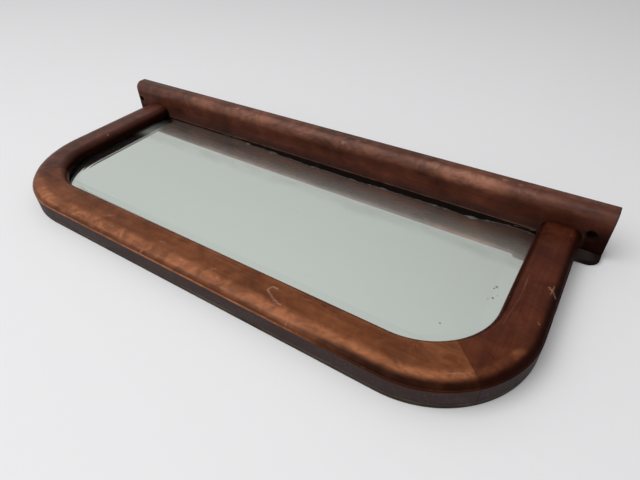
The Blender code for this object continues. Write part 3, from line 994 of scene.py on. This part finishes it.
def ease_mitre(points, grime_and_shade, top, end, neighbour):
    """Draws back and darkens a mitre's end ring by a hair, which shows as a fine line."""
    ring = slice(end * COUNT, (end + 1) * COUNT)
    beside = slice(neighbour * COUNT, (neighbour + 1) * COUNT)
    away = np.mean(points[beside, :2] - points[ring, :2], axis=0)
    away /= np.linalg.norm(away)
    points[ring, :2] += away * 0.04
    points[ring, 2] -= np.where(top[ring], 0.05, 0)
    grime_and_shade[ring] = np.maximum(grime_and_shade[ring], 0.30)


def member_object(member, material):
    look = MEMBERS[member]
    seed = look["seed"]
    rings = member_rings(member)
    inset, height = (np.tile(column, len(rings)) for column in SECTION.T)
    points = np.column_stack([np.concatenate(rings), height])
    top = height > ARRIS + 0.2
    knock = shape_by_hand(rings, points, inset, height, top, seed)

    # what the wear, dirt and painted shade depend on, at each point
    at = SimpleNamespace(
        points=points,
        x=points[:, 0],
        y=points[:, 1],
        inset=inset,
        height=height,
        top=top,
        knock=knock,
        patch=fractal(points * np.array([1, 1, 0.6]), 34, octaves=4, seed=seed + 11),
        fine=fractal(points, 6, seed=seed + 12),
        arris_line=band(height, ARRIS - 0.75, ARRIS + 0.06, 0.15) * (inset < 0.5),
        far_right=rise(points[:, 0], 272, 345),
    )
    at.crevice = member_crevice(at)
    wear = member_wear(member, look, at)
    grime_and_shade = member_grime_and_shade(member, look, at)
    mark = scratch_member(look, at, grime_and_shade)
    stain = fractal(points, (22, 22, 9), octaves=4, seed=seed + 20)
    outer_wall = (inset < 0.31) & (height < ARRIS + 0.01)
    attributes = {
        "wall": outer_wall * (1 - at.arris_line),
        "grime_and_shade": grime_and_shade,
        "mark": mark,
        "shade": member_shade(member, at),
        "stain": np.clip(stain * 2.2 - 0.75, 0, 0.6) * top,
        "wear": wear,
    }

    last = len(rings) - 1
    if member == "top_rail":
        ease_mitre(points, grime_and_shade, top, end=0, neighbour=1)
    ease_mitre(points, grime_and_shade, top, end=last, neighbour=last - 1)

    faces = grid_faces(len(rings), COUNT)
    obj = new_object(member + "_wood", points, faces, attributes, sharp=40)
    obj.data.materials.append(material)
    register(obj, member)


member_object("top_rail", top_wood)
member_object("left_stile", left_wood)
member_object("right_stile", right_wood)

# ---------------------------------------------------------------------------------------------
# Base rail


def rail_section():
    """Closed section of (depth from the front face, height)."""
    edge, depth = RAIL_EDGE, RAIL_THICKNESS
    bottom, top = RAIL_BOTTOM, RAIL_TOP
    round_start = top - RAIL_ROUND
    points = arc_points((edge, bottom + edge), edge, (270, 180), 4)
    points += line_points((0, bottom + edge), (0, round_start), 22)
    points += arc_points((RAIL_ROUND, round_start), RAIL_ROUND, (180, 90), 22)
    points += line_points((RAIL_ROUND, top), (depth - edge, top), 5)
    points += arc_points((depth - edge, top - edge), edge, (90, 0), 5)
    points += line_points((depth, top - edge), (depth, bottom + edge), 16)
    points += arc_points((depth - edge, bottom + edge), edge, (0, -90), 4)
    points += line_points((depth - edge, bottom), (edge, bottom), 5)
    return np.array(points)


def nick_rail(points):
    """Small nicks, mostly lengthways, in the rail's upper front."""
    rng = np.random.default_rng(77)
    for _ in range(60):
        spot = points[rng.integers(len(points))]
        if spot[2] < RAIL_TOP - 8 or spot[1] > RAIL_FRONT + 10:
            continue
        heading = rng.uniform(-0.5, 0.5)
        direction = np.array([math.cos(heading), 0.3 * math.sin(heading), 0])
        end = spot + rng.uniform(0.4, 4.0) * direction
        half_width = rng.uniform(0.6, 1.1)
        distance = segment_distance(points, spot, end)
        points[:, 2] -= fall(distance, half_width * 0.3, half_width) * rng.uniform(0.05, 0.2)


def rail_body():
    """The uncut rail, swept in x, with eased ends."""
    section = rail_section()
    count = len(section)
    left, right = -EAR_LENGTH, LENGTH + EAR_LENGTH
    # the last rings at each end: distance from the end, and how much smaller they are
    near, far, straight = 0.13, RAIL_EDGE, 1.2
    xs = [left, left + near, left + far]
    xs += list(np.linspace(left + straight, right - straight, 330))
    xs += [right - far, right - near, right]
    shrink = [far, near] + [0.0] * (len(xs) - 4) + [near, far]
    middle = np.array([RAIL_THICKNESS / 2, (RAIL_BOTTOM + RAIL_TOP) / 2])
    half = np.array([RAIL_THICKNESS / 2, (RAIL_TOP - RAIL_BOTTOM) / 2])
    rings = []
    for x, smaller in zip(xs, shrink):
        ring = middle + (section - middle) * (1 - smaller / half)
        rings.append(np.column_stack([np.full(count, x), RAIL_FRONT + ring[:, 0], ring[:, 1]]))
    points = np.concatenate(rings)

    # uneven top and front, as hand work leaves them
    depth = points[:, 1] - RAIL_FRONT
    top = (points[:, 2] > RAIL_TOP - RAIL_ROUND - 1) & (depth < 11)
    wander = fractal(points * np.array([1, 0.4, 0.4]), 55, seed=8.0)
    chatter = fractal(points, (12, 9, 9), seed=9.0)
    points[:, 2] -= np.where(top, np.abs(0.16 * wander + 0.10 * chatter), 0)
    bow = fractal(points * np.array([1, 0, 0.5]), 70, octaves=2, seed=10.0)
    front = (depth < 0.6) & (points[:, 2] > 12)
    points[:, 1] += np.where(front, np.abs(0.12 * bow + 0.05 * chatter), 0)
    nick_rail(points)
    return new_object("base_rail_body", points, grid_faces(len(xs), count))


def rail_cutter():
    """Pocket for the glass's edge, countersunk ear holes, and screw holes from the back."""
    bm = bmesh.new()
    over = 5  # how far cutters start outside the wood
    front_y = ORIGIN_Y + RAIL_FRONT
    lows = (GLASS_LOW[0] - GLASS_CLEARANCE, front_y - over, -over)
    highs = (GLASS_HIGH[0] + GLASS_CLEARANCE, GLASS_HIGH[1] + GLASS_CLEARANCE, FOOT_HEIGHT)
    size = [(high - low) * MM for low, high in zip(lows, highs)]
    middle = [(high + low) / 2 for low, high in zip(lows, highs)]
    place = Matrix.Translation(Vector(middle) * MM) @ Matrix.Diagonal((*size, 1.0))
    bmesh.ops.create_cube(bm, size=1.0, matrix=place)
    for x, z, shank, head in EAR_HOLES:
        sink = (head - shank) / 2
        steps = ((head / 2 + 0.12, -0.02), (head / 2 - 0.08, 0.14), (shank / 2, sink))
        ends = (-over, RAIL_THICKNESS + over)
        add_turned_hole(bm, steps, ends, origin=(ORIGIN_X + x, front_y, z), axis=(0, 1, 0))
    for index in range(1, 5):
        x, _, z = box_centre(f"base_screw_{index}")
        origin = (x, ORIGIN_Y + RAIL_BACK, z)
        steps = ((3.62, 0.78), (2.0, 2.9))
        add_turned_hole(bm, steps, (-over, RAIL_THICKNESS + 6), origin, axis=(0, -1, 0))
    return bm


# Rubbed spots on the rail's round-over: plan x, plan y
RUBBED_SPOTS = ((227, 163), (238, 167), (351, 168), (361, 167), (377, 165), (116, 166))


def rail_wear_and_sheen(x, y, depth, height, patch, fine, hole_distances, foot):
    # along the round-over, palest at its middle, and a little way down the front: rubbed wood with
    # a painted sheen
    up = height - (RAIL_TOP - RAIL_ROUND)
    turn = np.degrees(np.arctan2(up, np.maximum(RAIL_ROUND - depth, 1e-3)))
    front_side = (height > 20) & (depth < RAIL_ROUND + 1.5)
    down = rise(height, RAIL_TOP - 11.5, RAIL_TOP - 4.8) ** 1.3
    ridge = np.where(front_side, down * fall(turn, 60, 92), 0)
    # two stretches of painted highlight: x, half length, strength
    painted_sheen = sum(
        np.exp(-(((x - centre) / half_length) ** 2)) * strength
        for centre, half_length, strength in ((325, 44, 1.1), (150, 55, 0.45))
    )
    ends = rise(x, -14, 60) * fall(x, 348, 400)
    amount = np.clip(0.20 + 0.60 * patch + 0.22 * fine + 0.45 * painted_sheen, 0, 1)
    wear = ridge * amount * (0.25 + 0.75 * ends)

    top_face = (height > RAIL_TOP - 0.7) & (depth > RAIL_ROUND - 0.5)
    wear = np.maximum(wear, top_face * np.clip(0.10 + 0.3 * fine + 0.3 * patch, 0, 0.4))
    for spot_x, spot_y in RUBBED_SPOTS:
        near = np.hypot((x - spot_x) / 2.2, (y - spot_y) / 1.2)
        spot = fall(near, 0.5, 1.3) * (height > 27)
        wear = np.maximum(wear, spot * np.clip(0.7 + 1.2 * fine, 0, 1))
    # rims of the ear holes
    for distance, head in hole_distances:
        wear = np.maximum(wear, (np.abs(distance - head / 2) < 0.3) * (depth < 0.3) * 0.16)
    wear = np.maximum(wear, foot * np.clip(0.32 + 0.8 * fine, 0, 0.6))
    return np.clip(wear, 0, 1)


def rail_wall(from_centre, depth, height, fine):
    """Dust on the rail's ends, its back and the lower front."""
    ends = from_centre > LENGTH / 2 + EAR_LENGTH - 0.5
    back = depth > RAIL_THICKNESS - 0.5
    settled = (depth < 1.2) * fall(height, 10, 17) * np.clip(0.52 + 0.5 * fine, 0, 0.8)
    return np.clip(ends * 0.8 + back * 0.55 + settled, 0, 1)


def rail_grime_and_shade(x, from_centre, depth, height, hole_distances):
    # Painted shade inside the ear holes, in the pocket over the glass and a little on the low
    # front; the ears' lower fronts and the lower right end are darker too.
    holes = np.zeros(len(x))
    for distance, head in hole_distances:
        inside_hole = (distance < head / 2 + 0.2) * rise(depth, -0.05, 0.5)
        holes = np.maximum(holes, inside_hole * 0.97)
    low_front = (depth < 3) * fall(height, 9, 16) * 0.05
    # the ears' lower fronts, in painted shade, darker on the right
    ears = (depth < 1) * rise(from_centre, LENGTH / 2, LENGTH / 2 + 3) * fall(height, 13, 31)
    ears = ears * np.where(x > LENGTH / 2, 1.0, 0.35)
    right_end = (depth < 1) * rise(x, 345, 385) * fall(height, 22, 30) * 0.38
    inside = (depth > 0.8) * (depth < RAIL_THICKNESS - 1) * (height < RAIL_TOP - 8) * 0.9
    grime_and_shade = np.maximum(holes + low_front + ears * 0.93 + inside, right_end)
    return np.clip(grime_and_shade, 0, 0.97)


def rail_stain(points, x, depth, height):
    stain = fractal(points, (26, 20, 8), octaves=4, seed=14.0)
    stain = np.clip(stain * 2.4 - 0.42, 0, 0.7) * (depth < 7)
    # one blot at the left of the front
    blot = np.exp(-(((x - 41) / 9) ** 2) - ((height - 17) / 5) ** 2) * (depth < 3)
    return np.clip(stain + blot * 0.8, 0, 0.95)


def base_rail_object():
    obj = rail_body()
    cut(obj, "base_rail_cutter", rail_cutter())

    points = plan_points(obj)
    x, y, height = points.T
    depth = y - RAIL_FRONT
    from_centre = np.abs(x - LENGTH / 2)
    patch = fractal(points * np.array([1, 0.5, 0.5]), 40, octaves=4, seed=12.0)
    fine = fractal(points, 6, seed=13.0)
    hole_distances = [
        (np.hypot(x - hole_x, height - hole_z), head) for hole_x, hole_z, _, head in EAR_HOLES
    ]
    # the front's lower edge, over the glass
    foot = (depth < 0.6) * band(height, FOOT_HEIGHT - 0.2, FOOT_HEIGHT + 0.55, 0.25)
    attributes = {
        "wear": rail_wear_and_sheen(x, y, depth, height, patch, fine, hole_distances, foot),
        "wall": rail_wall(from_centre, depth, height, fine),
        "grime_and_shade": rail_grime_and_shade(x, from_centre, depth, height, hole_distances),
        "mark": foot * np.clip(0.16 + 0.3 * fine, 0, 0.4) * (from_centre < 176),
        "dull": fall(height, RAIL_TOP - 9.5, RAIL_TOP - 5.0),
        "stain": rail_stain(points, x, depth, height),
    }
    paint(obj.data, attributes)
    set_material(obj, rail_wood)
    register(obj, "base_rail")


base_rail_object()

# ---------------------------------------------------------------------------------------------
# Back board and its ears


def board_outline(inset):
    """Outline of the back board, counter-clockwise in plan, moved inwards by inset."""
    left, right = LEFT_RADII[0], RIGHT_RADII[0]
    right_side = LENGTH - inset
    ear_left, ear_right = -EAR_LENGTH, LENGTH + EAR_LENGTH
    ear_y = BOARD_EAR_START + inset
    ear_centre_y = BOARD_EAR_START + BOARD_EAR_RADIUS
    ear_radius = BOARD_EAR_RADIUS - inset
    back = RAIL_BACK - inset

    points = arc_points((left, left), left - inset, (180, 270), 40, closed=True)
    points += [(x, inset) for x in np.linspace(left, LENGTH - right, 60)[1:-1]]
    points += arc_points((LENGTH - right, right), right - inset, (270, 360), 40, closed=True)
    points += [(right_side, y) for y in np.linspace(right, ear_y, 16)[1:]]
    centre = (ear_right - BOARD_EAR_RADIUS, ear_centre_y)
    points += arc_points(centre, ear_radius, (270, 360), 12, closed=True)
    points.append((ear_right - inset, back))
    points += [(x, back) for x in np.linspace(ear_right - inset, ear_left + inset, 60)[1:]]
    centre = (ear_left + BOARD_EAR_RADIUS, ear_centre_y)
    points += arc_points(centre, ear_radius, (180, 270), 12, closed=True)
    points += [(inset, y) for y in np.linspace(ear_y, left, 16)[:-1]]
    return np.array(points)


def board_cutter():
    """Countersunk brad holes, from below."""
    bm = bmesh.new()
    for index in range(1, 11):
        x, y, _ = box_centre(f"back_brad_{index:02d}")
        steps = ((1.9, 0.45), (1.05, 1.2))
        ends = (-3, BOARD_TOP + 3)
        add_turned_hole(bm, steps, ends, origin=(x, y, 0), axis=(0, 0, 1), segments=28)
    return bm


def back_board_object():
    top = BOARD_TOP
    rings = (  # inset, height
        (0.35, 0.0), (0.1, 0.1), (0.0, 0.35), (0.0, top * 0.5), (0.0, top - 0.3),
        (0.09, top - 0.08), (0.3, top),
    )
    obj = slab_object("back_board_panel", board_outline, rings)
    cut(obj, "board_cutter", board_cutter())

    points = plan_points(obj)
    x, _, height = points.T
    fine = fractal(points, 5, seed=16.0)
    # painted shade: the board's ears nearly black and its sides dark; a painted highlight along its
    # top edge
    ear = rise(np.abs(x - LENGTH / 2), LENGTH / 2 + 0.2, LENGTH / 2 + 1.0)
    edge_highlight = band(height, top - 0.35, top, 0.1) * (1 - ear)
    side = (height > 0.02) * np.clip(0.45 + 0.4 * fine, 0, 0.8)
    attributes = {
        "wear": np.clip(edge_highlight * (0.03 + 0.2 * fine), 0, 0.25),
        "grime_and_shade": np.clip(side * (1 - edge_highlight) + 0.97 * ear, 0, 0.97),
    }
    paint(obj.data, attributes)
    set_material(obj, board_wood)
    register(obj, "back_board")


back_board_object()

# ---------------------------------------------------------------------------------------------
# Mirror plate: clear glass with a polished bevel, silvered on its back


def plate_outline(inset):
    """Outline of the plate, rounded at the top rail's corners, moved inwards by inset."""
    left, right = GLASS_LOW[0] - ORIGIN_X, GLASS_HIGH[0] - ORIGIN_X
    near, far = GLASS_LOW[1] - ORIGIN_Y, GLASS_HIGH[1] - ORIGIN_Y
    overlap = MEMBER_WIDTH - left  # from the frame's inner edge out to the plate's edge
    left_radius, right_radius = LEFT_RADII[1] + overlap, RIGHT_RADII[1] + overlap
    centre = (left + left_radius, near + left_radius)
    points = arc_points(centre, left_radius - inset, (180, 270), 48, closed=True)
    centre = (right - right_radius, near + right_radius)
    points += arc_points(centre, right_radius - inset, (270, 360), 48, closed=True)
    points += [(right - inset, far - inset), (left + inset, far - inset)]
    return np.array(points)


def mirror_object():
    bottom, top = GLASS_LOW[2], GLASS_HIGH[2]
    drop, width = BEVEL_DROP, BEVEL_WIDTH
    rings = (  # inset, height: bottom edge, side, then the bevel up to the flat face
        (0.35, bottom),
        (0.0, bottom + 0.35),
        (0.0, top - drop - 0.25),
        (0.2, top - drop),
        (width - 0.9, top - drop * 0.9 / width),
        (width - 0.3, top - drop * 0.2 / width),
        (width + 0.35, top),
    )
    obj = slab_object("mirror_glass_plate", plate_outline, rings, sharp=3.0)
    obj.data.materials.append(glass_material())
    obj.data.materials.append(silver_material())
    for polygon in obj.data.polygons:
        if polygon.normal.z < -0.9:
            polygon.material_index = 1
    register(obj, "mirror_plate")


mirror_object()

# ---------------------------------------------------------------------------------------------
# CAD pieces that keep their own shape

for names, material, slot in (
    (["left_mitre_spline", "right_mitre_spline"], spline_wood, "spline_wood"),
    ([f"base_screw_{i}" for i in range(1, 5)], screw_steel, "screw_steel"),
    ([f"back_brad_{i:02d}" for i in range(1, 11)], brad_steel, "brad_steel"),
):
    for name in names:
        set_material(NODES[name], material)

# ---------------------------------------------------------------------------------------------
# Floor, light and camera, in metres


def floor_material():
    """White, with painted shade: slightly greyer far off and to the left."""
    tree = Tree("floor_white")
    grain = tree.noise(120, detail=4)
    place = tree.place()
    far = tree.add(place["Y"], tree.multiply(place["X"], 0.6))
    far_shade = tree.range(far, span=(-0.1, 1.3), to=(1.0, 0.84))
    left_shade = tree.range(place["X"], span=(-0.45, 0.1), to=(0.93, 1.0), linear=True)
    base = tree.mix(grain, (0.822, 0.822, 0.834), (0.836, 0.836, 0.848))
    colour = tree.tinted(base, tree.grey(tree.multiply(far_shade, left_shade)))
    return tree.finish(tree.shader(Base_Color=colour, Roughness=0.6, Specular_IOR_Level=0.15))


def floor_object():
    bm = bmesh.new()
    bmesh.ops.create_grid(bm, x_segments=8, y_segments=8, size=6.0)
    mesh = bpy.data.meshes.new("floor")
    bm.to_mesh(mesh)
    bm.free()
    floor = bpy.data.objects.new("floor", mesh)
    floor.location = (0, 0, -0.0002)
    bpy.context.scene.collection.objects.link(floor)
    floor.data.materials.append(floor_material())


def sky():
    """A soft sky: brighter overhead and to the left, with a lift behind the viewer."""
    world = bpy.data.worlds.new("studio")
    bpy.context.scene.world = world
    world.use_nodes = True
    nodes, links = world.node_tree.nodes, world.node_tree.links
    nodes.clear()
    out = nodes.new("ShaderNodeOutputWorld")
    background = nodes.new("ShaderNodeBackground")
    coords = nodes.new("ShaderNodeTexCoord")

    def math_node(operation, value, number):
        made = nodes.new("ShaderNodeMath")
        made.operation = operation
        links.new(value, made.inputs[0])
        made.inputs[1].default_value = number
        return made.outputs[0]

    def glow(direction, offset, least):
        """Brightness rising along a direction, but at least `least`."""
        dot = nodes.new("ShaderNodeVectorMath")
        dot.operation = "DOT_PRODUCT"
        links.new(coords.outputs["Generated"], dot.inputs[0])
        dot.inputs[1].default_value = direction
        return math_node("MAXIMUM", math_node("ADD", dot.outputs["Value"], offset), least)

    overhead = glow(direction=(-0.25, -0.03, 0.45), offset=0.19, least=0.30)
    behind = glow(direction=(0.0, -0.45, 0.0), offset=-0.05, least=0.0)
    total = nodes.new("ShaderNodeMath")
    total.operation = "ADD"
    links.new(overhead, total.inputs[0])
    links.new(behind, total.inputs[1])
    links.new(total.outputs[0], background.inputs["Color"])
    background.inputs["Strength"].default_value = 1.0
    links.new(background.outputs[0], out.inputs["Surface"])


def key_light():
    """A square lamp, high on the left of the viewer, aimed at the world's origin."""
    data = bpy.data.lights.new("key", "AREA")
    data.shape = "RECTANGLE"
    data.size = data.size_y = 1.2
    data.energy = 11.0
    data.color = (1, 1, 1)
    key = bpy.data.objects.new("key", data)
    bpy.context.scene.collection.objects.link(key)
    key.location = (-0.45, -0.58, 1.20)
    aim = Vector((0, 0, 0)) - Vector((-0.45, -0.58, 1.20))
    key.rotation_euler = aim.to_track_quat("-Z", "Y").to_euler()
    key.visible_transmission = False  # the lamp isn't seen in the mirror, through its glass


def add_camera():
    data = bpy.data.cameras.new("camera")
    camera = bpy.data.objects.new("camera", data)
    bpy.context.scene.collection.objects.link(camera)
    camera.location = (0.19260, -0.20826, 0.20844)
    camera.rotation_euler = (0.8750630, 0.0277100, 0.5756084)
    data.sensor_width = 36.0
    data.lens = 26.314
    data.clip_start = 0.01
    bpy.context.scene.camera = camera


floor_object()
sky()
key_light()
add_camera()
bpy.context.scene.view_settings.view_transform = "Standard"
bpy.context.scene.view_settings.look = "None"
